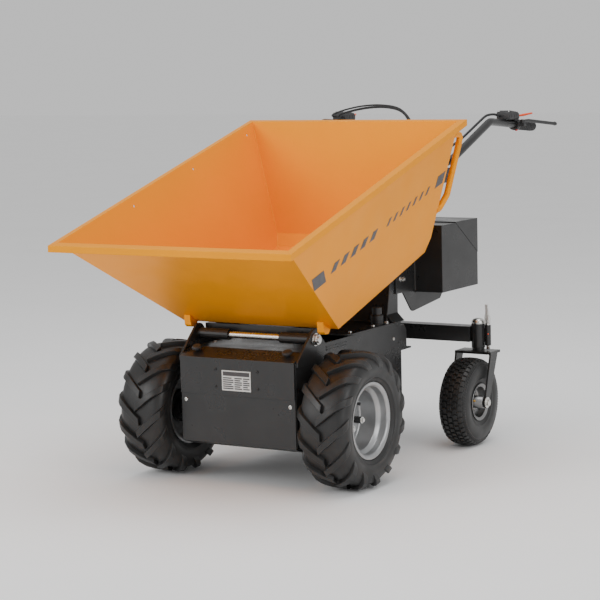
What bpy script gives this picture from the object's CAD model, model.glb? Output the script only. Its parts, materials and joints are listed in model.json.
"""Looks for the power wheelbarrow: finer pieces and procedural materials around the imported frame.

Metres, +Z up. +X is the machine's left and -Y its front. Places come from the frame's own boxes.
"""

import json
from math import cos, pi, radians, sin

import bmesh
import bpy
from mathutils import Matrix, Vector
from mathutils.bvhtree import BVHTree

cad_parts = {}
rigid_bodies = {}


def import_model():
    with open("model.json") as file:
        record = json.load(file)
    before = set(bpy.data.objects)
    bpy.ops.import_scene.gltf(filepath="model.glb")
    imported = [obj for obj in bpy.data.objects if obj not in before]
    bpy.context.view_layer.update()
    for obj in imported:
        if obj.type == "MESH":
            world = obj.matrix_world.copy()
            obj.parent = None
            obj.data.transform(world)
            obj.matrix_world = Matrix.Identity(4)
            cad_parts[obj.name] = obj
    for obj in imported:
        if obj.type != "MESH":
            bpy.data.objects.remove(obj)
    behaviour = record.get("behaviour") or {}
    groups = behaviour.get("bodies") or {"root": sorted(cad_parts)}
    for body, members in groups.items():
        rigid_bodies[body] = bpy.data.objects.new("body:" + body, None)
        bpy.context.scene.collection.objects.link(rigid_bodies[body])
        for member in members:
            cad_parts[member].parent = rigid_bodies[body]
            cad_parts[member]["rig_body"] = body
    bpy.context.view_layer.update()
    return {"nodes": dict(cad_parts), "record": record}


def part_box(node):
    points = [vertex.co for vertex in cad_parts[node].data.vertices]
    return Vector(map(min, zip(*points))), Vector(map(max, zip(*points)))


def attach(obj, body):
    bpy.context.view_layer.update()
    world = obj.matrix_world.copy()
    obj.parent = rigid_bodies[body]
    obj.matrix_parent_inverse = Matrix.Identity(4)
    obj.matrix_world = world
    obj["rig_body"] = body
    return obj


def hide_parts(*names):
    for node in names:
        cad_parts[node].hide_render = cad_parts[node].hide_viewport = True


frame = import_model()
SIDES = (("left", 1), ("right", -1))
NODES = frame["nodes"]

# Places that no box states; y runs from the drive axle, for fit_y
BAR_X = 0.313  # from the middle to each side tube of the handlebar
BAR_LEAN = -0.0862  # the handlebar's fall towards the grips, metres for each metre
COLLAR_Y, COLLAR_Z = 1.136, 1.01055  # middle of the clamp collars
DECK_TOP = 0.4203  # top face of the rear deck
GUIDE_TOP = 0.3803  # where a lock pin's collar rests
SWIVEL_Y = 0.800  # the caster stems
SOCKET_AT = (0.160, 0.438)  # the charging socket on the rear deck
KNOB_SEAT = (-0.5255, 0.3932)  # y and z of a cover knob's seat on the sloping cover
KNOB_AXIS = (0, -0.3616, 0.9323)
BEAD = 0.0026  # radius of a chassis weld bead


def low(node):
    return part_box(node)[0]


def high(node):
    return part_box(node)[1]


def middle(node):
    return (low(node) + high(node)) / 2


# Materials


class Surface:
    """A node material: tone patches, a fine grain, worn edges and an uneven gloss."""

    def __init__(self, name, color, rough, metal=0.0, coat=0.0, specular=0.5, tint=(1, 1, 1)):
        self.material = bpy.data.materials.new(name)
        self.material.use_nodes = True
        self.material.diffuse_color = (*color, 1)
        self.tree = self.material.node_tree
        self.shader = self.tree.nodes["Principled BSDF"]
        self.shader.inputs["Metallic"].default_value = metal
        self.shader.inputs["Coat Weight"].default_value = coat
        self.shader.inputs["Coat Roughness"].default_value = 0.12
        self.shader.inputs["Specular IOR Level"].default_value = specular
        self.shader.inputs["Specular Tint"].default_value = (*tint, 1)
        self.shader.inputs["Roughness"].default_value = rough
        self.color = color
        self.rough = rough
        self.place = self.node("ShaderNodeTexCoord").outputs["Object"]
        self.paint = None
        self.normal = None

    def node(self, kind, **values):
        made = self.tree.nodes.new(kind)
        for key, value in values.items():
            setattr(made, key, value)
        return made

    def join(self, source, target):
        self.tree.links.new(source, target)

    def noise(self, scale, detail=3.0):
        made = self.node("ShaderNodeTexNoise")
        made.inputs["Scale"].default_value = scale
        made.inputs["Detail"].default_value = detail
        self.join(self.place, made.inputs["Vector"])
        return made.outputs["Fac"]

    def remap(self, source, start, end, to_start=0.0, to_end=1.0):
        made = self.node("ShaderNodeMapRange")
        made.inputs["From Min"].default_value = start
        made.inputs["From Max"].default_value = end
        made.inputs["To Min"].default_value = to_start
        made.inputs["To Max"].default_value = to_end
        self.join(source, made.inputs["Value"])
        return made.outputs["Result"]

    def times(self, first, second):
        made = self.node("ShaderNodeMath", operation="MULTIPLY")
        self.join(first, made.inputs[0])
        self.join(second, made.inputs[1])
        return made.outputs[0]

    def mix(self, factor, first, second):
        made = self.node("ShaderNodeMix", data_type="RGBA")
        self.join(factor, made.inputs[0])
        for value, socket in ((first, made.inputs[6]), (second, made.inputs[7])):
            if isinstance(value, tuple):
                socket.default_value = (*value, 1)
            else:
                self.join(value, socket)
        return made.outputs[2]

    def patches(self, scale, amount):
        """Soft lighter and darker areas of the base colour."""
        dark = tuple(c * (1 - amount) for c in self.color)
        light = tuple(min(1.0, c * (1 + amount)) for c in self.color)
        self.paint = self.mix(self.remap(self.noise(scale, 5), 0.3, 0.7), dark, light)
        return self

    def dust(self, scale, color, amount):
        """A thin film that lies in irregular patches."""
        film = self.remap(self.noise(scale, 8), 0.48, 0.75, 0.0, amount)
        self.paint = self.mix(film, self.paint, color)
        return self

    def worn(self, color, width, amount):
        """Edges rounded by the bevel shader, with the colour rubbed through along them."""
        bevel = self.node("ShaderNodeBevel", samples=4)
        bevel.inputs["Radius"].default_value = width
        flat = self.node("ShaderNodeNewGeometry").outputs["Normal"]
        turn = self.node("ShaderNodeVectorMath", operation="DOT_PRODUCT")
        self.join(bevel.outputs["Normal"], turn.inputs[0])
        self.join(flat, turn.inputs[1])
        edge = self.remap(turn.outputs["Value"], 0.985, 0.85)
        rubbed = self.times(edge, self.remap(self.noise(70, 6), 0.35, 0.65, 0.0, amount))
        self.paint = self.mix(rubbed, self.paint, color)
        self.normal = bevel.outputs["Normal"]
        return self

    def grain(self, scale, strength, depth=0.0004, detail=2.0):
        """A fine bump, such as orange peel, powder texture or moulded plastic."""
        bump = self.node("ShaderNodeBump")
        bump.inputs["Strength"].default_value = strength
        bump.inputs["Distance"].default_value = depth
        self.join(self.noise(scale, detail), bump.inputs["Height"])
        if self.normal is not None:
            self.join(self.normal, bump.inputs["Normal"])
        self.normal = bump.outputs["Normal"]
        return self

    def gloss(self, scale, swing):
        """Roughness that wanders about its own value."""
        rough = self.remap(self.noise(scale, 4), 0.3, 0.7, self.rough - swing, self.rough + swing)
        self.join(rough, self.shader.inputs["Roughness"])
        return self

    def done(self):
        if self.paint is not None:
            self.join(self.paint, self.shader.inputs["Base Color"])
        if self.normal is not None:
            self.join(self.normal, self.shader.inputs["Normal"])
        return self.material


def make_materials():
    warm = (1.0, 0.55, 0.12)
    orange = Surface("orange_coat", (0.95, 0.345, 0.0), 0.38, metal=0.30, specular=0.3, tint=warm)
    orange.patches(3.5, 0.03)
    orange.worn((1.0, 0.56, 0.08), 0.0025, 0.7).grain(420, 0.10).gloss(9, 0.05)
    black = Surface("black_coat", (0.0165, 0.0165, 0.0168), 0.31).patches(5, 0.15)
    black.dust(26, (0.08, 0.08, 0.08), 0.05).worn((0.09, 0.09, 0.09), 0.0016, 0.5)
    black.grain(1300, 0.28).gloss(14, 0.07)
    zinc = Surface("zinc_plate", (0.66, 0.655, 0.63), 0.30, metal=1.0).patches(60, 0.12)
    zinc.worn((0.85, 0.84, 0.80), 0.0008, 0.4).grain(700, 0.10).gloss(90, 0.10)
    silver = Surface("silver_coat", (0.40, 0.405, 0.41), 0.33, metal=0.85).patches(22, 0.07)
    silver.dust(45, (0.20, 0.17, 0.13), 0.12).grain(1500, 0.12).gloss(30, 0.06)
    tyre = Surface("tyre_compound", (0.0135, 0.0135, 0.0135), 0.43).patches(16, 0.22)
    tyre.dust(34, (0.06, 0.055, 0.05), 0.10).worn((0.075, 0.072, 0.068), 0.0022, 0.6)
    tyre.grain(520, 0.30).gloss(20, 0.10)
    grip = Surface("grip_compound", (0.020, 0.020, 0.021), 0.66).patches(40, 0.2)
    grip.grain(1600, 0.35).gloss(50, 0.06)
    plastic = Surface("black_moulding", (0.024, 0.024, 0.025), 0.46).patches(30, 0.15)
    plastic.worn((0.07, 0.07, 0.07), 0.0010, 0.4).grain(1900, 0.22).gloss(40, 0.06)
    thumb = Surface("orange_moulding", (0.80, 0.075, 0.012), 0.38).patches(60, 0.06)
    thumb.grain(1500, 0.12).gloss(60, 0.05)
    red = Surface("red_moulding", (0.60, 0.012, 0.008), 0.32).patches(60, 0.06)
    red.grain(1500, 0.10).gloss(60, 0.05)
    plate = Surface("plate_print", (0.62, 0.62, 0.60), 0.42, metal=0.2).patches(50, 0.05)
    plate.grain(900, 0.08).gloss(60, 0.06)
    cast = Surface("cast_housing", (0.30, 0.31, 0.32), 0.55, metal=0.7).patches(35, 0.15)
    cast.grain(420, 0.45, 0.0008, 6).gloss(40, 0.08)
    case = Surface("battery_moulding", (0.07, 0.08, 0.10), 0.45).patches(20, 0.1)
    case.grain(900, 0.25).gloss(30, 0.06)
    decal = Surface("decal_film", (0.050, 0.046, 0.050), 0.38).patches(50, 0.10)
    decal.grain(800, 0.06).gloss(40, 0.06)
    weld = Surface("painted_weld", (0.034, 0.033, 0.032), 0.36).patches(90, 0.2)
    weld.grain(500, 0.4, 0.0006).gloss(80, 0.08)
    brass = Surface("valve_brass", (0.75, 0.42, 0.09), 0.32, metal=0.9).patches(90, 0.1)
    brass.grain(900, 0.1).gloss(80, 0.06)
    dark_zinc = Surface("dull_zinc_plate", (0.30, 0.30, 0.30), 0.34, metal=1.0).patches(50, 0.15)
    dark_zinc.grain(700, 0.10).gloss(80, 0.08)
    bright_zinc = Surface("bright_zinc_plate", (0.72, 0.72, 0.70), 0.38, metal=0.35).patches(50, 0.08)
    bright_zinc.grain(700, 0.10).gloss(80, 0.08)
    return {
        "orange_paint": orange, "black_paint": black, "zinc": zinc, "silver_paint": silver,
        "tyre_rubber": tyre, "grip_rubber": grip, "black_plastic": plastic, "orange_plastic": thumb,
        "red_plastic": red, "label": plate, "cast_metal": cast, "battery_case": case,
        "decal": decal, "weld": weld, "brass": brass, "dark_zinc": dark_zinc,
        "bright_zinc": bright_zinc,
    }


COATS = {slot: surface.done() for slot, surface in make_materials().items()}
NODE_SLOT = {part["node"]: part["material_slot"] for part in frame["record"]["subparts"]}


def coat_nodes():
    for name, node in NODES.items():
        node.data.materials.clear()
        node.data.materials.append(COATS[NODE_SLOT[name]])


# Mesh helpers


def piece(name, bm, coat, body, stands_for=(), smooth=35, bevel=0.0, segments=2):
    """A shown piece that rides on a body and takes its finish from a slot."""
    bmesh.ops.remove_doubles(bm, verts=bm.verts, dist=2e-6)
    bmesh.ops.recalc_face_normals(bm, faces=bm.faces)
    mesh = bpy.data.meshes.new(name)
    bm.to_mesh(mesh)
    bm.free()
    mesh.materials.append(COATS[coat])
    made = bpy.data.objects.new(name, mesh)
    bpy.context.scene.collection.objects.link(made)
    mesh.shade_smooth()
    mesh.set_sharp_from_angle(angle=radians(smooth))
    if bevel:
        edge = made.modifiers.new("edges", "BEVEL")
        edge.width = bevel
        edge.segments = segments
        edge.limit_method = "ANGLE"
        edge.angle_limit = radians(38)
        edge.harden_normals = True
    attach(made, body)
    if stands_for:
        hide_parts(*stands_for)
    return made


def axis_frame(axis, at):
    """A matrix that carries +Z onto the axis and the origin to a point."""
    turn = Vector((0, 0, 1)).rotation_difference(Vector(axis)).to_matrix().to_4x4()
    return Matrix.Translation(Vector(at)) @ turn


def lathe(bm, profile, axis, at, steps=48):
    """A closed (radius, along) profile turned about an axis."""
    place = axis_frame(axis, at)
    rings = []
    for r, h in profile:
        if r < 1e-6:
            rings.append([bm.verts.new(place @ Vector((0, 0, h)))] * steps)
        else:
            turns = [2 * pi * k / steps for k in range(steps)]
            rings.append([bm.verts.new(place @ Vector((r * cos(t), r * sin(t), h))) for t in turns])
    for a, b in zip(rings, rings[1:] + rings[:1]):
        for k in range(steps):
            corners = []
            for vert in (a[k - 1], a[k], b[k], b[k - 1]):
                if vert not in corners:
                    corners.append(vert)
            if len(corners) > 2 and bm.faces.get(corners) is None:
                bm.faces.new(corners)


def block(bm, outline, axis, start, end, at=(0, 0, 0)):
    """An outline in the plane across the axis, carried from start to end along it."""
    order = {"X": (1, 2, 0), "Y": (0, 2, 1), "Z": (0, 1, 2)}[axis]
    rows = []
    for along in (start, end):
        row = []
        for a, b in outline:
            spot = [0.0, 0.0, 0.0]
            for slot, value in zip(order, (a, b, along)):
                spot[slot] = value
            row.append(bm.verts.new(Vector(spot) + Vector(at)))
        rows.append(row)
    for k in range(len(outline)):
        bm.faces.new((rows[0][k - 1], rows[0][k], rows[1][k], rows[1][k - 1]))
    bm.faces.new(rows[0])
    bm.faces.new(rows[1])


def bent(points, radius, steps=6):
    """The polyline with its inner corners rounded."""
    points = [Vector(p) for p in points]
    path = [points[0]]
    for before, corner, after in zip(points, points[1:], points[2:]):
        back, ahead = before - corner, after - corner
        reach = min(radius, back.length * 0.49, ahead.length * 0.49)
        start = corner + back.normalized() * reach
        end = corner + ahead.normalized() * reach
        for i in range(steps + 1):
            t = i / steps
            path.append(start * (1 - t) ** 2 + corner * 2 * t * (1 - t) + end * t * t)
    path.append(points[-1])
    return path


def tube(bm, path, radii, sides=16, flatten=1.0):
    """A bar along a path; radii holds one radius for each point, and flatten squeezes its height."""
    rings = []
    side = None
    for i, point in enumerate(path):
        ahead = (path[min(i + 1, len(path) - 1)] - path[max(i - 1, 0)]).normalized()
        if side is None:
            across = Vector((1, 0, 0)) if abs(ahead.z) > 0.95 else Vector((0, 0, 1))
            side = ahead.cross(across).normalized()
        side = (side - ahead * side.dot(ahead)).normalized()
        up = side.cross(ahead)
        turns = [2 * pi * k / sides for k in range(sides)]
        ring = [point + radii[i] * (cos(t) * side + flatten * sin(t) * up) for t in turns]
        rings.append([bm.verts.new(p) for p in ring])
    for a, b in zip(rings, rings[1:]):
        for k in range(sides):
            bm.faces.new((a[k - 1], a[k], b[k], b[k - 1]))
    bm.faces.new(rings[0])
    bm.faces.new(rings[-1])


def hex_bolt(bm, at, axis, size=0.008, head=0.0055, washer=True):
    """A washer with a hexagon head on it, standing on a face."""
    if washer:
        rim = size * 1.55
        profile = [(0, -0.001), (rim, -0.001), (rim, 0.0010), (rim - 0.0004, 0.0014), (0, 0.0014)]
        lathe(bm, profile, axis, at, 24)
    place = axis_frame(axis, at)
    rows = []
    for grow, height in ((1.0, 0.0012), (1.0, head), (0.86, head + 0.0008)):
        turns = [2 * pi * k / 6 + 0.3 for k in range(6)]
        ring = [place @ Vector((size * grow * cos(t), size * grow * sin(t), height)) for t in turns]
        rows.append([bm.verts.new(p) for p in ring])
    for a, b in zip(rows, rows[1:]):
        for k in range(6):
            bm.faces.new((a[k - 1], a[k], b[k], b[k - 1]))
    bm.faces.new(rows[0])
    bm.faces.new(rows[-1])


def button_bolt(bm, at, axis, radius=0.006):
    """A domed socket head with its recess."""
    profile = [(0, -0.0005), (radius, -0.0005), (radius, 0.0008), (radius * 0.85, 0.0026),
               (radius * 0.5, 0.0034), (radius * 0.42, 0.0034), (radius * 0.36, 0.0016), (0, 0.0016)]
    lathe(bm, profile, axis, at, 20)


def bolts(name, places, axis, coat, body, size=0.006, hexagon=False):
    bm = bmesh.new()
    for at in places:
        if hexagon:
            hex_bolt(bm, at, axis, size)
        else:
            button_bolt(bm, at, axis, size)
    return piece(name, bm, coat, body)


def weld_bead(name, start, end, radius, body, coat="weld"):
    """A laid bead with its regular ripples."""
    start, end = Vector(start), Vector(end)
    count = max(6, int((end - start).length / 0.0022))
    path = [start.lerp(end, i / count) for i in range(count + 1)]
    radii = [radius * (0.86 + 0.14 * sin(i * 2.1) + 0.05 * sin(i * 0.7)) for i in range(count + 1)]
    bm = bmesh.new()
    tube(bm, path, radii, 8)
    return piece(name, bm, coat, body, smooth=60)


def refined(name, node, coat=None, bevel=0.0, smooth=40):
    """A CAD node's own shape, welded up, shaded round and with broken edges."""
    bm = bmesh.new()
    bm.from_mesh(NODES[node].data)
    bmesh.ops.remove_doubles(bm, verts=bm.verts, dist=1e-5)
    bmesh.ops.dissolve_limit(bm, angle_limit=radians(0.6), verts=bm.verts, edges=bm.edges)
    body = NODES[node]["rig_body"]
    return piece(name, bm, coat or NODE_SLOT[node], body, (node,), smooth, bevel)


# Drive wheels


def profile_normals(points):
    """Outward normals of an open (x, r) profile that runs from the middle outwards."""
    normals = []
    for i in range(len(points)):
        a, b = points[max(i - 1, 0)], points[min(i + 1, len(points) - 1)]
        run = Vector((b[0] - a[0], b[1] - a[1])).normalized()
        normals.append(Vector((-run.y, run.x)))
    return normals


DRIVE_SHAPE = [(0, 0.1905), (0.030, 0.1900), (0.052, 0.1878), (0.064, 0.1830), (0.0725, 0.1745),
               (0.0768, 0.1630), (0.0778, 0.1500), (0.0765, 0.1390), (0.0738, 0.1310), (0.0748, 0.1290),
               (0.0742, 0.1272), (0.0712, 0.1262), (0.0685, 0.1195), (0.0660, 0.1160), (0.0618, 0.1142)]
LUG_STATIONS = [(-0.007, 0.1903, 0.0123), (0.012, 0.1903, 0.0123), (0.032, 0.1897, 0.0122),
                (0.050, 0.1880, 0.0120), (0.061, 0.1846, 0.0114), (0.069, 0.1785, 0.0100),
                (0.0742, 0.1700, 0.0064), (0.0770, 0.1610, 0.0030), (0.0776, 0.1560, 0.0004)]
LUGS_PER_SIDE = 15
LUG_LEAN = 0.41  # radians round the tyre from a lug's middle end to its shoulder end


def tyre_carcass(bm, shape, axis, centre, inner, steps):
    """The closed casing from bead to bead, from half a profile."""
    half = [(r, x) for x, r in shape]
    other = [(r, -x) for r, x in reversed(half) if x > 0]
    inside = [(r, -x) for x, r in inner] + [(r, x) for x, r in reversed(inner)]
    lathe(bm, other + half + inside[::-1], axis, centre, steps)


def lug(bm, centre, half, start_angle, lean):
    """One slanted tread bar on one half of the tyre, from its middle over the shoulder."""
    outline = [(x, r) for x, r, _ in LUG_STATIONS]
    normals = profile_normals(outline)
    length = [0.0]
    for a, b in zip(outline, outline[1:]):
        length.append(length[-1] + (Vector(b) - Vector(a)).length)
    rings = []
    for i, (x, r, rise) in enumerate(LUG_STATIONS):
        part = length[i] / length[-1]
        angle = start_angle - lean * (part + 0.12 * part * part)
        top = Vector((x, r)) + normals[i] * rise
        foot = Vector((x, r)) - normals[i] * 0.002
        half_top, half_foot = 0.0110 + 0.0010 * part, 0.0138 + 0.0012 * part
        ring = []
        for spot, across in ((foot, -half_foot), (top, -half_top), (top, half_top), (foot, half_foot)):
            turn = angle + across / spot.y
            corner = Vector((half * spot.x, spot.y * cos(turn), spot.y * sin(turn)))
            ring.append(bm.verts.new(centre + corner))
        rings.append(ring)
    for a, b in zip(rings, rings[1:]):
        for k in range(4):
            bm.faces.new((a[k - 1], a[k], b[k], b[k - 1]))
    bm.faces.new(rings[0])
    bm.faces.new(rings[-1])


def drive_tyre(side):
    """A casing with slanted lugs, its two halves half a pitch apart."""
    node, body = f"drive_tyre_{side}", f"drive_wheel_{side}"
    centre = middle(node)
    bm = bmesh.new()
    inner = [(0, 0.181), (0.050, 0.176), (0.066, 0.150), (0.058, 0.122), (0.0560, 0.1040), (0.0600, 0.1040)]
    tyre_carcass(bm, DRIVE_SHAPE, (1, 0, 0), centre, inner, 96)
    piece(f"drive_tyre_casing_{side}", bm, "tyre_rubber", body, (node,), smooth=50)
    bm = bmesh.new()
    pitch = 2 * pi / LUGS_PER_SIDE
    for i in range(LUGS_PER_SIDE):
        lug(bm, centre, 1, (i + 0.25) * pitch, LUG_LEAN)
        lug(bm, centre, -1, (i + 0.75) * pitch, LUG_LEAN)
    piece(f"drive_tyre_lugs_{side}", bm, "tyre_rubber", body, smooth=30, bevel=0.0014)


def drive_rim(side, way):
    """A stepped deep-dish disc wheel, with its bolts and valve."""
    node, body = f"drive_rim_{side}", f"drive_wheel_{side}"
    centre = middle(node)
    shape = [(0.1118, 0.0660), (0.1135, 0.0650), (0.1135, 0.0636), (0.1085, 0.0628), (0.1035, 0.0606),
             (0.1022, 0.0570), (0.1022, 0.0405), (0.0990, 0.0370), (0.0900, 0.0318), (0.0890, 0.0290),
             (0.0890, -0.0300), (0.1022, -0.0400), (0.1022, -0.0570), (0.1035, -0.0606),
             (0.1135, -0.0640), (0.1135, -0.0655), (0.1118, -0.0660), (0.1085, -0.0652), (0.1010, -0.0622),
             (0.0992, -0.0580), (0.0992, -0.0395), (0.0868, -0.0300), (0.0840, -0.0262), (0.0640, -0.0246),
             (0.0600, -0.0232), (0.0310, -0.0232), (0.0310, -0.0202), (0.0590, -0.0202),
             (0.0630, -0.0216), (0.0830, -0.0226), (0.0866, -0.0190), (0.0866, 0.0290), (0.0880, 0.0325),
             (0.0975, 0.0385), (0.0994, 0.0415), (0.0994, 0.0580), (0.1010, 0.0622), (0.1080, 0.0652)]
    bm = bmesh.new()
    lathe(bm, [(r, way * h) for r, h in shape], (1, 0, 0), centre, 80)
    piece(f"drive_wheel_rim_{side}", bm, "silver_paint", body, (node,), smooth=50)
    bm = bmesh.new()
    face = centre.x - way * 0.0200
    for i in range(4):
        turn = pi / 2 * i + pi / 4
        spot = (face, centre.y + 0.0535 * cos(turn), centre.z + 0.0535 * sin(turn))
        hex_bolt(bm, spot, (way, 0, 0), 0.0078)
    piece(f"wheel_bolts_{side}", bm, "zinc", body, smooth=30)
    bm = bmesh.new()
    turn = 2.35
    root = centre + Vector((way * 0.034, 0.0905 * cos(turn), 0.0905 * sin(turn)))
    aim = Vector((way * 0.93, -0.30 * cos(turn), -0.30 * sin(turn))).normalized()
    stem = [(0, -0.006), (0.0052, -0.006), (0.0052, 0.010), (0.0040, 0.013), (0.0040, 0.022),
            (0.0046, 0.0225), (0.0046, 0.029), (0, 0.030)]
    lathe(bm, stem, aim, root, 16)
    piece(f"drive_valve_{side}", bm, "black_plastic", body)


def drive_hub(side, way):
    node, body = f"drive_hub_{side}", f"drive_wheel_{side}"
    centre = middle(f"drive_rim_{side}")
    reach = abs(centre.x) - low("drive_hub_left").x
    tip = high("drive_hub_left").x - abs(centre.x)
    shape = [(0, -reach), (0.0130, -reach), (0.0130, -0.0475), (0.0250, -0.0470), (0.0250, -0.0335),
             (0.0500, -0.0310), (0.0515, -0.0250), (0.0295, -0.0245), (0.0295, -0.0130), (0.0240, -0.0090),
             (0.0110, -0.0065), (0.0100, -0.0045), (0.0100, tip - 0.008), (0.0090, tip - 0.0068),
             (0, tip - 0.0068)]
    bm = bmesh.new()
    lathe(bm, [(r, way * h) for r, h in shape], (1, 0, 0), centre, 32)
    piece(f"drive_hub_shaft_{side}", bm, "black_paint", body, (node,), smooth=40)
    bm = bmesh.new()
    hex_bolt(bm, centre + Vector((way * (tip - 0.0068), 0, 0)), (way, 0, 0), 0.0064, 0.0058)
    piece(f"hub_bolt_{side}", bm, "zinc", body, smooth=30)


# Casters

CASTER_SHAPE = [(0, 0.1365), (0.018, 0.1360), (0.031, 0.1335), (0.040, 0.1280), (0.0455, 0.1190),
                (0.0480, 0.1080), (0.0485, 0.0960), (0.0470, 0.0850), (0.0445, 0.0770), (0.0452, 0.0755),
                (0.0440, 0.0740), (0.0418, 0.0700), (0.0408, 0.0650), (0.0395, 0.0615)]
TURF_BLOCKS = 44


def turf_block(bm, centre, x, half_x, r, angle, half_arc, rise, tilt=0.0):
    """A small raised tread block with bowed ends."""
    rings = []
    for level, shrink in ((-0.002, 1.0), (rise, 0.86)):
        ring = []
        for u, v in ((-1, -1), (0, -1.25), (1, -1), (1, 1), (0, 0.75), (-1, 1)):
            across = x + u * half_x * shrink
            radius = r + level - tilt * abs(u * half_x) * (1 if u * x > 0 else -1)
            turn = angle + v * half_arc * shrink / radius
            ring.append(bm.verts.new(centre + Vector((across, radius * cos(turn), radius * sin(turn)))))
        rings.append(ring)
    for k in range(6):
        bm.faces.new((rings[0][k - 1], rings[0][k], rings[1][k], rings[1][k - 1]))
    bm.faces.new(rings[0])
    bm.faces.new(rings[1])


def caster_tyre(side):
    """A casing with rows of staggered turf blocks and fine shoulder bars."""
    node, body = f"caster_tyre_{side}", f"caster_wheel_{side}"
    centre = middle(node)
    bm = bmesh.new()
    inner = [(0, 0.129), (0.030, 0.124), (0.040, 0.100), (0.036, 0.075), (0.0350, 0.0545), (0.0375, 0.0545)]
    tyre_carcass(bm, CASTER_SHAPE, (1, 0, 0), centre, inner, 72)
    piece(f"caster_tyre_casing_{side}", bm, "tyre_rubber", body, (node,), smooth=50)
    bm = bmesh.new()
    pitch = 2 * pi / TURF_BLOCKS
    rows = ((0.0, 0.0078, 0.1366, 0.0), (0.0175, 0.0075, 0.1358, 0.10), (0.0335, 0.0062, 0.1318, 0.42))
    for x, half_x, r, tilt in rows:
        for way in ((1,) if x == 0 else (1, -1)):
            offset = 0.5 if x == 0.0175 else 0.0
            for i in range(TURF_BLOCKS):
                turf_block(bm, centre, way * x, half_x, r, (i + offset) * pitch, 0.0072, 0.0043, tilt)
    for way in (1, -1):
        for i in range(TURF_BLOCKS * 2):
            turf_block(bm, centre, way * 0.0432, 0.0026, 0.1232, i * pitch / 2, 0.0032, 0.0022, 1.2)
    piece(f"caster_tyre_tread_{side}", bm, "tyre_rubber", body, smooth=20)


def caster_rim(side, way):
    node, body = f"caster_rim_{side}", f"caster_wheel_{side}"
    centre = middle(node)
    half = [(0.0588, 0.0430), (0.0600, 0.0420), (0.0600, 0.0410), (0.0560, 0.0402), (0.0525, 0.0380)]
    dish = [(0.0495, 0.0385), (0.0495, 0.0130), (0.0465, 0.0085), (0.0400, 0.0062), (0.0230, 0.0062),
            (0.0205, 0.0090), (0.0200, 0.0545), (0.0185, 0.0560), (0.0084, 0.0560)]
    outer = half + [(r, -h) for r, h in reversed(half)]
    shape = outer + [(r, -h) for r, h in dish] + [(r, h) for r, h in reversed(dish)]
    bm = bmesh.new()
    lathe(bm, shape, (1, 0, 0), centre, 56)
    piece(f"caster_wheel_rim_{side}", bm, "dark_zinc", body, (node,), smooth=50)
    bm = bmesh.new()
    for end in (1, -1):
        for i in range(4):
            turn = pi / 2 * i + 0.6
            spot = centre + Vector((end * 0.0062, 0.0325 * cos(turn), 0.0325 * sin(turn)))
            hex_bolt(bm, spot, (end, 0, 0), 0.0052, 0.0042, washer=False)
    piece(f"caster_rim_bolts_{side}", bm, "zinc", body, smooth=30)
    bm = bmesh.new()
    turn = 2.9
    root = centre + Vector((way * 0.012, 0.0475 * cos(turn), 0.0475 * sin(turn)))
    aim = Vector((way * 0.95, -0.30 * cos(turn), -0.30 * sin(turn))).normalized()
    stem = [(0, -0.004), (0.0042, -0.004), (0.0042, 0.020), (0.0036, 0.0205), (0.0036, 0.031), (0, 0.032)]
    lathe(bm, stem, aim, root, 14)
    piece(f"caster_valve_{side}", bm, "brass", body)


def caster_axle(side):
    """A through bolt: its head and washer on one side, its lock nut on the other."""
    node, body = f"caster_axle_{side}", f"caster_fork_{side}"
    centre, reach = middle(node), high(node).x - middle(node).x
    bm = bmesh.new()
    lathe(bm, [(0, -reach + 0.001), (0.0080, -reach + 0.001), (0.0080, reach - 0.001), (0, reach - 0.001)],
          (1, 0, 0), centre, 24)
    for end in (1, -1):
        hex_bolt(bm, centre + Vector((end * 0.0653, 0, 0)), (end, 0, 0), 0.0115, reach - 0.0668)
    piece(f"caster_axle_bolt_{side}", bm, "zinc", body, (node,), smooth=30)


def swivel_cap(side):
    """The plated dome over the swivel stem."""
    stem = Vector((middle(f"caster_axle_{side}").x, fit_y(SWIVEL_Y), 0))
    bm = bmesh.new()
    lathe(bm, [(0, 0.3834), (0.0216, 0.3834), (0.0218, 0.3880), (0.0200, 0.3935), (0.0160, 0.3980),
               (0.0095, 0.4008), (0, 0.4017)], (0, 0, 1), stem, 32)
    piece(f"swivel_cap_{side}", bm, "zinc", f"caster_fork_{side}", smooth=60)


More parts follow.
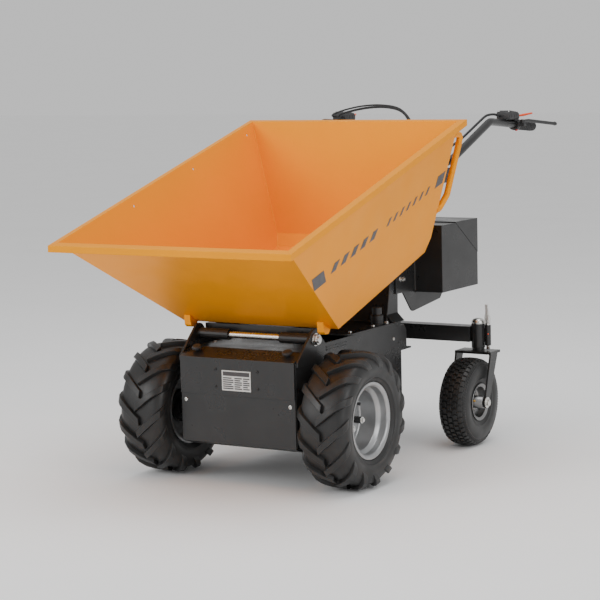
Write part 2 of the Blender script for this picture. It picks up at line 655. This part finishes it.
def lock_pin(side, way):
    """The swivel lock: a pin with its collar, and a folded lever on top."""
    node, body = f"lock_pin_{side}", f"lock_pin_{side}"
    bottom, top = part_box(node)
    x = (bottom.x + top.x) / 2
    y = top.y - 0.0085
    bm = bmesh.new()
    shape = [(0, bottom.z), (0.0048, bottom.z), (0.0058, bottom.z + 0.002), (0.0058, GUIDE_TOP),
             (0.0085, GUIDE_TOP), (0.0085, GUIDE_TOP + 0.0052), (0.0075, GUIDE_TOP + 0.0060),
             (0.0058, GUIDE_TOP + 0.0060), (0.0058, 0.4020), (0, 0.4030)]
    lathe(bm, shape, (0, 0, 1), (x, y, 0), 24)
    piece(f"lock_plunger_{side}", bm, "zinc", body, (node,), smooth=40)
    bm = bmesh.new()
    cheek = [(-0.0085, 0.3875), (0.0080, 0.3875), (0.0080, 0.3990), (0.0040, 0.4110), (-0.0060, 0.4150),
             (-0.0105, 0.4060)]
    cheek = [(y + a, z) for a, z in cheek]
    for offset in (-0.0076, 0.0052):
        block(bm, cheek, "X", x + offset, x + offset + 0.0024)
    handle = [(0.0030, 0.4000), (0.0070, 0.4080), (-0.0005, 0.4260), (-0.0060, 0.4480), (-0.0120, 0.4470),
              (-0.0085, 0.4270), (-0.0100, 0.4160), (-0.0060, 0.4020)]
    block(bm, [(y + a, z) for a, z in handle], "X", x - 0.0048, x + 0.0050)
    piece(f"lock_lever_{side}", bm, "bright_zinc", body, smooth=30, bevel=0.0009)
    bm = bmesh.new()
    lathe(bm, [(0, -0.004), (0.0022, -0.004), (0.0022, 0.0006), (0.0016, 0.0012), (0, 0.0012)],
          (way * 0.5, -0.866, 0), (x + way * 0.0048, y - 0.0083, 0.352), 14)
    piece(f"lock_mark_{side}", bm, "orange_plastic", "chassis")


# Tub


def tub_tree():
    mesh = NODES["tub"].data
    return BVHTree.FromPolygons([v.co for v in mesh.vertices], [p.vertices for p in mesh.polygons])


def rim_line():
    """(slope, height at y = 0) of the rim's top edge along the tub's side."""
    bottom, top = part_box("tub")
    verts = [v.co for v in NODES["tub"].data.vertices]
    front = max(v.z for v in verts if v.y < bottom.y + 0.004)
    slope = (top.z - front) / (top.y - bottom.y)
    return slope, front - slope * bottom.y


def decal(bm, tree, way, y, length, drop, height, skew):
    """A thin parallelogram laid on the side wall, its edges parallel to the rim."""
    slope, level = rim_line()
    columns, rows = max(4, int(length / 0.004)), 8
    grid = []
    for j in range(rows + 1):
        row = []
        for i in range(columns + 1):
            along = y + length * i / columns - skew * j / rows
            depth = level + slope * (y + length * i / columns) - drop - height * j / rows
            hit = tree.ray_cast(Vector((way * 0.6, along, depth)), Vector((-way, 0, 0)))
            on_wall = hit[0] is not None and hit[1].x * way > 0.8 and abs(hit[0].x) > 0.2
            row.append(bm.verts.new(hit[0] + hit[1] * 0.0003) if on_wall else None)
        grid.append(row)
    faces = []
    for a, b in zip(grid, grid[1:]):
        for i in range(columns):
            corners = (a[i], a[i + 1], b[i + 1], b[i])
            if None not in corners:
                faces.append(bm.faces.new(corners))
    grown = bmesh.ops.extrude_face_region(bm, geom=faces)["geom"]
    for vert in [g for g in grown if isinstance(g, bmesh.types.BMVert)]:
        vert.co.x += way * 0.0003


def decals():
    """Plain side stripes: a block at each end and two runs of slanted dashes."""
    tree = tub_tree()
    dashes = [(-0.560 + 0.058 * i, 0.030, 0.160, 0.031) for i in range(5)]
    dashes += [(-0.225 + 0.042 * i, 0.014, 0.158, 0.026) for i in range(7)]
    for side, way in SIDES:
        bm = bmesh.new()
        decal(bm, tree, way, -0.694, 0.068, 0.155, 0.036, -0.034)
        decal(bm, tree, way, 0.088, 0.052, 0.146, 0.038, 0.006)
        for y, length, drop, height in dashes:
            decal(bm, tree, way, y, length, drop, height, 0.012)
        piece(f"tub_stripes_{side}", bm, "decal", "tub", smooth=30)


def tub_details():
    """The grab tubes, and a painted bead round each of their feet on the tub."""
    for side, way in SIDES:
        refined(f"grab_bar_{side}", f"grab_tube_{side}", smooth=50)
        for z, x in ((1.001, 0.354), (0.768, 0.296)):
            bm = bmesh.new()
            ring = []
            y = 0.1563 if z > 0.9 else 0.1465
            for k in range(21):
                turn = 2 * pi * k / 20
                ring.append(Vector((way * x + 0.0112 * cos(turn), y + 0.001, z + 0.0112 * sin(turn))))
            radii = [0.0021 + 0.0004 * sin(k * 2.3) for k in range(21)]
            tube(bm, ring, radii, 8)
            piece(f"grab_weld_{side}_{int(z * 1000)}", bm, "orange_paint", "tub", smooth=60)


# Chassis details


def fit_y(y):
    """World y of a place given from the drive axle."""
    return y + middle("drive_tyre_left").y


def cover_bolts():
    """Silver bolts low on the lower cover, screws round the type plate, bolts on the front deck."""
    front = low("front_cover_lower").y
    face = low("front_cover_upper").y
    places = [(way * 0.182, front, 0.249) for _, way in SIDES]
    bolts("cover_bolts", places, (0, -1, 0), "zinc", "chassis", 0.0068)
    places = [(way * 0.073, face, z) for _, way in SIDES for z in (0.346, 0.295)]
    bolts("cover_screws", places, (0, -1, 0), "black_plastic", "chassis", 0.0042)
    places = [(way * x, fit_y(y), high("front_deck").z) for _, way in SIDES for x, y in
              ((0.170, 0.020), (0.170, 0.160))]
    bolts("front_deck_bolts", places, (0, 0, 1), "zinc", "chassis", 0.0055)


def plate_print():
    """A table of plain bars on the type plate: no lettering."""
    bottom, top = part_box("type_plate")
    face = bottom.y
    bm = bmesh.new()
    bars = [(bottom.x + 0.004, top.x - 0.004, top.z - 0.016, top.z - 0.0035)]
    for i in range(6):
        z = bottom.z + 0.005 + i * 0.0062
        for start, end in ((0.004, 0.040), (0.044, 0.070), (0.074, 0.096)):
            reach = end - (0.006 if (i + int(start * 1000)) % 3 == 0 else 0.0)
            bars.append((bottom.x + start, bottom.x + reach, z, z + 0.0034))
    for left, right, under, over in bars:
        outline = [(left, under), (right, under), (right, over), (left, over)]
        block(bm, outline, "Y", face - 0.0003, face + 0.0004)
    piece("type_plate_print", bm, "decal", "chassis")


def knobs():
    for side, _ in SIDES:
        node = f"cover_knob_{side}"
        refined(f"knob_{side}", node, bevel=0.0007)
        centre = middle(node)
        bm = bmesh.new()
        place = axis_frame(KNOB_AXIS, (centre.x, *KNOB_SEAT))
        for k in range(14):
            turn = 2 * pi * k / 14
            rib = []
            for h_in, h_out in ((0.0074, 0.0078), (0.0126, 0.0122)):
                for across, r, h in ((-0.0009, 0.0148, h_in), (0.0009, 0.0148, h_in),
                                     (0.0009, 0.0162, h_out), (-0.0009, 0.0162, h_out)):
                    spot = Vector((r * cos(turn) - across * sin(turn),
                                   r * sin(turn) + across * cos(turn), h))
                    rib.append(bm.verts.new(place @ spot))
            for a in range(4):
                b = (a + 1) % 4
                bm.faces.new((rib[a], rib[b], rib[b + 4], rib[a + 4]))
            bm.faces.new(rib[:4])
            bm.faces.new(rib[4:])
        piece(f"knob_ribs_{side}", bm, "black_plastic", f"cover_knob_{side}")


def frame_details():
    """Deck, gusset and side bolts, flange strips, and the weld beads of column and battery box."""
    places = [(way * 0.176, fit_y(y), DECK_TOP) for _, way in SIDES for y in (0.240, 0.385)]
    bolts("rear_deck_bolts", places, (0, 0, 1), "zinc", "chassis", 0.0055)
    places = [(way * 0.180, fit_y(0.462), DECK_TOP) for _, way in SIDES]
    bolts("column_foot_bolts", places, (0, 0, 1), "zinc", "chassis", 0.0060, hexagon=True)
    for side, way in SIDES:
        gusset = high("box_gusset_left").x
        places = [(way * gusset, fit_y(y), z) for y, z in ((0.560, 0.548), (0.579, 0.546))]
        bolts(f"gusset_bolts_{side}", places, (way, 0, 0), "zinc", "chassis", 0.0055, hexagon=True)
        x = way * (gusset + 0.0010)
        box_low, box_front = low("battery_box").z, low("battery_box").y
        weld_bead(f"box_seam_{side}", (x, box_front - 0.0002, box_low + 0.006),
                  (x, box_front - 0.0002, 0.695), BEAD, "chassis")
        weld_bead(f"box_floor_seam_{side}", (x, box_front + 0.004, box_low - 0.0004),
                  (x, fit_y(0.840), box_low - 0.0004), BEAD, "chassis")
        column = way * 0.1752
        weld_bead(f"column_seam_{side}", (column, fit_y(0.4730), DECK_TOP + 0.004),
                  (column, fit_y(0.5085), 0.588), BEAD, "chassis")
        weld_bead(f"beam_seam_{side}", (way * 0.046, fit_y(0.774), 0.328), (way * 0.046, fit_y(0.774), 0.372),
                  0.0024, "chassis")
        plate = high("side_plate_left").x - 0.0063
        bm = bmesh.new()
        for z, reach in ((0.3990, 0.190), (0.3905, 0.175)):
            start, end = fit_y(0.055), fit_y(reach)
            outline = [(start, z), (end, z), (end, z + 0.0035), (start, z + 0.0035)]
            block(bm, outline, "X", way * plate, way * (plate + 0.0016))
        piece(f"side_flange_{side}", bm, "black_paint", "chassis", bevel=0.0005)
        bm = bmesh.new()
        for y, z in ((0.470, 0.150), (0.470, 0.370), (0.240, 0.150)):
            button_bolt(bm, (way * plate, fit_y(y), z), (way, 0, 0), 0.0055)
        piece(f"side_bolts_{side}", bm, "zinc", "chassis")
    weld_bead("column_foot_seam", (-0.172, fit_y(0.4715), DECK_TOP + 0.0008),
              (0.172, fit_y(0.4715), DECK_TOP + 0.0008), BEAD, "chassis")


def socket_cap():
    """Rings and a flap on the charging socket."""
    centre = Vector((SOCKET_AT[0], fit_y(SOCKET_AT[1]), DECK_TOP))
    bm = bmesh.new()
    for z in (0.006, 0.013, 0.020):
        lathe(bm, [(0.0195, z), (0.0207, z + 0.0006), (0.0207, z + 0.0024), (0.0195, z + 0.0030)], (0, 0, 1),
              centre, 36)
    lathe(bm, [(0, 0.0495), (0.0150, 0.0495), (0.0150, 0.0510), (0.0130, 0.0525), (0, 0.0525)], (0, 0, 1),
          centre, 32)
    piece("charging_cap", bm, "black_plastic", "chassis")


# Handlebar


def smooth_nodes():
    """Round CAD pieces whose shape stands, with closer shading and broken edges."""
    refined("handlebar_tube", "handlebar", smooth=50)
    refined("rear_frame_weldment", "rear_frame", bevel=0.0012)
    refined("pivot_bar", "pivot_shaft", bevel=0.0006)
    refined("console_case", "console", smooth=30)
    refined("stop_button", "emergency_stop", bevel=0.0005)
    refined("battery_cover", "battery_lid", bevel=0.0011)
    refined("battery_tray", "battery_box", bevel=0.0011)
    for side, _ in SIDES:
        refined(f"caster_yoke_{side}", f"caster_fork_{side}", bevel=0.0013)
        refined(f"gusset_plate_{side}", f"box_gusset_{side}", bevel=0.0009)
        refined(f"post_{side}", f"handlebar_post_{side}", bevel=0.0012)
        refined(f"control_housing_{side}", f"control_unit_{side}", bevel=0.0009)


def grip(side, way):
    node = f"grip_{side}"
    bottom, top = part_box(node)
    x = (bottom.x + top.x) / 2
    aim = Vector((0, 1, BAR_LEAN)).normalized()
    start = Vector((x, 0.717, 1.0093))
    length = 0.1248
    shape = [(0.0132, 0), (0.0176, 0), (0.0180, 0.0012), (0.0180, 0.0030), (0.0158, 0.0050)]
    for i in range(8):
        at = 0.010 + i * 0.0132
        shape += [(0.0160, at), (0.0174, at + 0.0018), (0.0174, at + 0.0052), (0.0160, at + 0.0070),
                  (0.0148, at + 0.0086), (0.0148, at + 0.0110)]
    shape += [(0.0162, length - 0.006), (0.0165, length - 0.003), (0.0140, length), (0, length),
              (0, length - 0.003), (0.0132, length - 0.003)]
    bm = bmesh.new()
    lathe(bm, shape, aim, start, 28)
    piece(f"hand_grip_{side}", bm, "grip_rubber", "chassis", (node,), smooth=35)


def levers(side, way):
    """The thumb paddle, and the brake lever with its ball end."""
    node = f"thumb_lever_{side}"
    bottom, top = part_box(node)
    x = way * BAR_X
    z = bottom.z + 0.0035
    path = bent([(x, bottom.y + 0.0005, z), (x, bottom.y + 0.030, z),
                 (x + way * 0.010, bottom.y + 0.054, z + 0.0020),
                 (x + way * 0.0275, top.y - 0.0015, z + 0.0072)], 0.012, 5)
    count = len(path) - 1
    radii = [0.0035 + 0.0022 * max(0.0, min(1.0, (i / count - 0.45) * 3)) for i in range(count + 1)]
    radii[-1] = 0.0040
    bm = bmesh.new()
    tube(bm, path, radii, 16, 0.72)
    piece(f"thumb_paddle_{side}", bm, "orange_plastic", node, (node,), smooth=50, bevel=0.0006)
    node = f"brake_lever_{side}"
    refined(f"brake_blade_{side}", node, smooth=50, bevel=0.0006)
    tip_y = high(node).y
    bm = bmesh.new()
    ball = [(0, -0.0068), (0.0040, -0.0060), (0.0064, -0.0030), (0.0069, 0), (0.0064, 0.0030),
            (0.0040, 0.0060), (0, 0.0067)]
    lathe(bm, ball, (way * 0.2, 0.98, -0.1), (way * 0.3708, tip_y - 0.0075, 1.0045), 20)
    piece(f"brake_ball_{side}", bm, "black_plastic", node)


def unit_details(side, way):
    """Ribs, screws and the coloured insert on a control housing."""
    bottom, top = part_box(f"control_unit_{side}")
    x = way * BAR_X
    crown, fall = top.z - 0.0006, 0.109
    bm = bmesh.new()
    for i in range(4):
        y = bottom.y + 0.0135 + i * 0.0128
        rise = crown - fall * (y - bottom.y - 0.0120)
        block(bm, [(-0.0205, rise - 0.0040), (0.0205, rise - 0.0040), (0.0185, rise + 0.0012),
                   (-0.0185, rise + 0.0012)], "Y", y, y + 0.0074, (x, 0, 0))
    for i in range(3):
        y = bottom.y + 0.014 + i * 0.020
        for end in (-1, 1):
            block(bm, [(end * 0.0240, 0), (end * 0.0258, 0), (end * 0.0258, 0.0125), (end * 0.0240, 0.0125)],
                  "Y", y, y + 0.0100, (x, 0, 1.0345))
    piece(f"unit_ribs_{side}", bm, "black_plastic", "chassis", bevel=0.0006)
    bm = bmesh.new()
    for dy, drop in ((0.0065, 0.0034), (0.0700, 0.0108)):
        for end in (-1, 1):
            button_bolt(bm, (x + end * 0.018, bottom.y + dy, top.z - drop), (0, 0, 1), 0.0024)
    piece(f"unit_screws_{side}", bm, "zinc", "chassis")
    collar = Vector((x, fit_y(COLLAR_Y), COLLAR_Z))
    bm = bmesh.new()
    lathe(bm, [(0.0188, -0.0030), (0.0199, -0.0024), (0.0199, 0.0024), (0.0188, 0.0030)],
          (0, 1, BAR_LEAN), collar, 36)
    piece(f"collar_ring_{side}", bm, "black_plastic", "chassis")
    bm = bmesh.new()
    lathe(bm, [(0, -0.003), (0.0048, -0.003), (0.0048, 0.0030), (0.0036, 0.0042), (0, 0.0042)],
          (way * 0.30, 0, -0.95), collar + Vector((way * 0.0056, 0, -0.0178)), 18)
    piece(f"collar_button_{side}", bm, "red_plastic", "chassis")
    bm = bmesh.new()
    pivot = Vector((way * (BAR_X + 0.029), fit_y(COLLAR_Y), COLLAR_Z + 0.01505))
    lathe(bm, [(0, 0), (0.0046, 0), (0.0046, 0.0016), (0.0034, 0.0024), (0, 0.0024)], (0, 0, 1), pivot, 18)
    piece(f"lever_screw_{side}", bm, "zinc", f"brake_lever_{side}")


# Cables, along the same routes as in the frame

CABLES = {
    "control_cable_right": (0.0040, [
        (-0.299, 1.0452, 1.0430), (-0.299, 1.037, 1.0430), (-0.290, 1.016, 1.0485),
        (-0.240, 0.985, 1.060), (-0.150, 0.950, 1.074), (-0.050, 0.905, 1.078),
        (0.040, 0.850, 1.065), (0.100, 0.790, 1.028), (0.124, 0.728, 0.973),
        (0.130, 0.692, 0.925), (0.130, 0.690, 0.905), (0.130, 0.690, 0.8915)]),
    "brake_cable_right": (0.0030, [
        (-0.328, 1.0448, 1.0425), (-0.328, 1.037, 1.0425), (-0.316, 1.012, 1.050),
        (-0.252, 0.975, 1.066), (-0.158, 0.938, 1.081), (-0.056, 0.892, 1.085),
        (0.040, 0.836, 1.074), (0.112, 0.776, 1.034), (0.142, 0.716, 0.980),
        (0.152, 0.688, 0.925), (0.152, 0.686, 0.905), (0.152, 0.686, 0.8915)]),
    "control_cable_left": (0.0040, [
        (0.299, 1.0452, 1.0430), (0.299, 1.037, 1.0430), (0.298, 1.012, 1.048),
        (0.296, 0.975, 1.048), (0.294, 0.945, 1.042), (0.292, 0.880, 1.0165),
        (0.290, 0.800, 0.985), (0.286, 0.730, 0.961), (0.262, 0.708, 0.938),
        (0.246, 0.700, 0.912), (0.246, 0.700, 0.902), (0.246, 0.700, 0.8915)]),
}


def smooth_route(points, steps=5):
    points = [Vector(p) for p in points]
    ends = [points[0] * 2 - points[1]] + points + [points[-1] * 2 - points[-2]]
    path = []
    for a, b, c, d in zip(ends, ends[1:], ends[2:], ends[3:]):
        for i in range(steps):
            t = i / steps
            path.append(0.5 * (2 * b + (c - a) * t + (2 * a - 5 * b + 4 * c - d) * t**2
                               + (3 * b - a - 3 * c + d) * t**3))
    return path + [points[-1]]


def cable(node, radius, route):
    path = smooth_route([(x, fit_y(y), z) for x, y, z in route])
    bm = bmesh.new()
    tube(bm, path, [radius] * len(path), 14)
    made = piece(f"{node}_line", bm, "grip_rubber", "chassis", (node,), smooth=60)


def cable_fittings():
    """A threaded gland where each cable enters the console."""
    console_top = high("console").z
    bm = bmesh.new()
    for radius, route in CABLES.values():
        x, y, _ = route[-1]
        inner, outer = radius + 0.0004, radius + 0.0045
        lathe(bm, [(inner, 0), (outer, 0), (outer, 0.0040), (outer - 0.0014, 0.0046),
                   (outer - 0.0014, 0.0110), (inner, 0.0120)], (0, 0, 1), (x, fit_y(y), console_top), 18)
    piece("cable_glands", bm, "black_plastic", "chassis")


# Stage


def area(name, at, aim, size, power, color=(1, 1, 1)):
    data = bpy.data.lights.new(name, "AREA")
    data.shape = "RECTANGLE"
    data.size, data.size_y = size
    data.energy = power
    data.color = color
    lamp = bpy.data.objects.new(name, data)
    lamp.location = at
    lamp.rotation_euler = (Vector(aim) - Vector(at)).to_track_quat("-Z", "Y").to_euler()
    bpy.context.scene.collection.objects.link(lamp)


def stage():
    mesh = bpy.data.meshes.new("studio_floor")
    half = 30.0
    corners = [(-half, -half, 0), (half, -half, 0), (half, half, 0), (-half, half, 0)]
    mesh.from_pydata(corners, [], [(0, 1, 2, 3)])
    floor = bpy.data.objects.new("studio_floor", mesh)
    bpy.context.scene.collection.objects.link(floor)
    surface = Surface("studio_paper", (0.97, 0.97, 0.97), 0.9, specular=0.1).patches(2, 0.01)
    mesh.materials.append(surface.grain(60, 0.02).done())
    world = bpy.data.worlds.new("studio")
    world.use_nodes = True
    world.node_tree.nodes["Background"].inputs["Color"].default_value = (1.0, 1.0, 1.0, 1)
    world.node_tree.nodes["Background"].inputs["Strength"].default_value = 0.72
    bpy.context.scene.world = world
    area("top_light", (0.3, -0.6, 4.2), (0, -0.2, 0.5), (3.6, 3.6), 90)
    area("front_light", (-2.6, -4.6, 2.6), (0, -0.4, 0.5), (2.6, 2.2), 70)
    area("side_light", (4.6, -1.6, 2.4), (0, 0, 0.5), (2.6, 2.2), 55)


def camera():
    data = bpy.data.cameras.new("photo_view")
    data.lens = 121.49
    data.sensor_width = 36.0
    view = bpy.data.objects.new("photo_view", data)
    yaw, pitch, roll = 0.5447, 0.1219, -0.0243
    back = Vector((sin(yaw) * cos(pitch), -cos(yaw) * cos(pitch), sin(pitch)))
    right = Vector((cos(yaw), sin(yaw), 0))
    up = back.cross(right)
    level = right * cos(roll) + up * sin(roll)
    upright = up * cos(roll) - right * sin(roll)
    turn = Matrix((level, upright, back)).transposed().to_4x4()
    view.matrix_world = Matrix.Translation((3.1999, -5.4725, 1.2674)) @ turn
    bpy.context.scene.collection.objects.link(view)
    bpy.context.scene.camera = view


def build():
    """Camera and cables first, then the coats, then everything that stands for or on a CAD node."""
    camera()
    for node, (radius, route) in CABLES.items():
        cable(node, radius, route)
    coat_nodes()
    smooth_nodes()
    for side, way in SIDES:
        drive_tyre(side)
        drive_rim(side, way)
        drive_hub(side, way)
        caster_tyre(side)
        caster_rim(side, way)
        caster_axle(side)
        swivel_cap(side)
        lock_pin(side, way)
        grip(side, way)
        levers(side, way)
        unit_details(side, way)
    decals()
    tub_details()
    cover_bolts()
    plate_print()
    knobs()
    frame_details()
    socket_cap()
    cable_fittings()
    stage()


build()
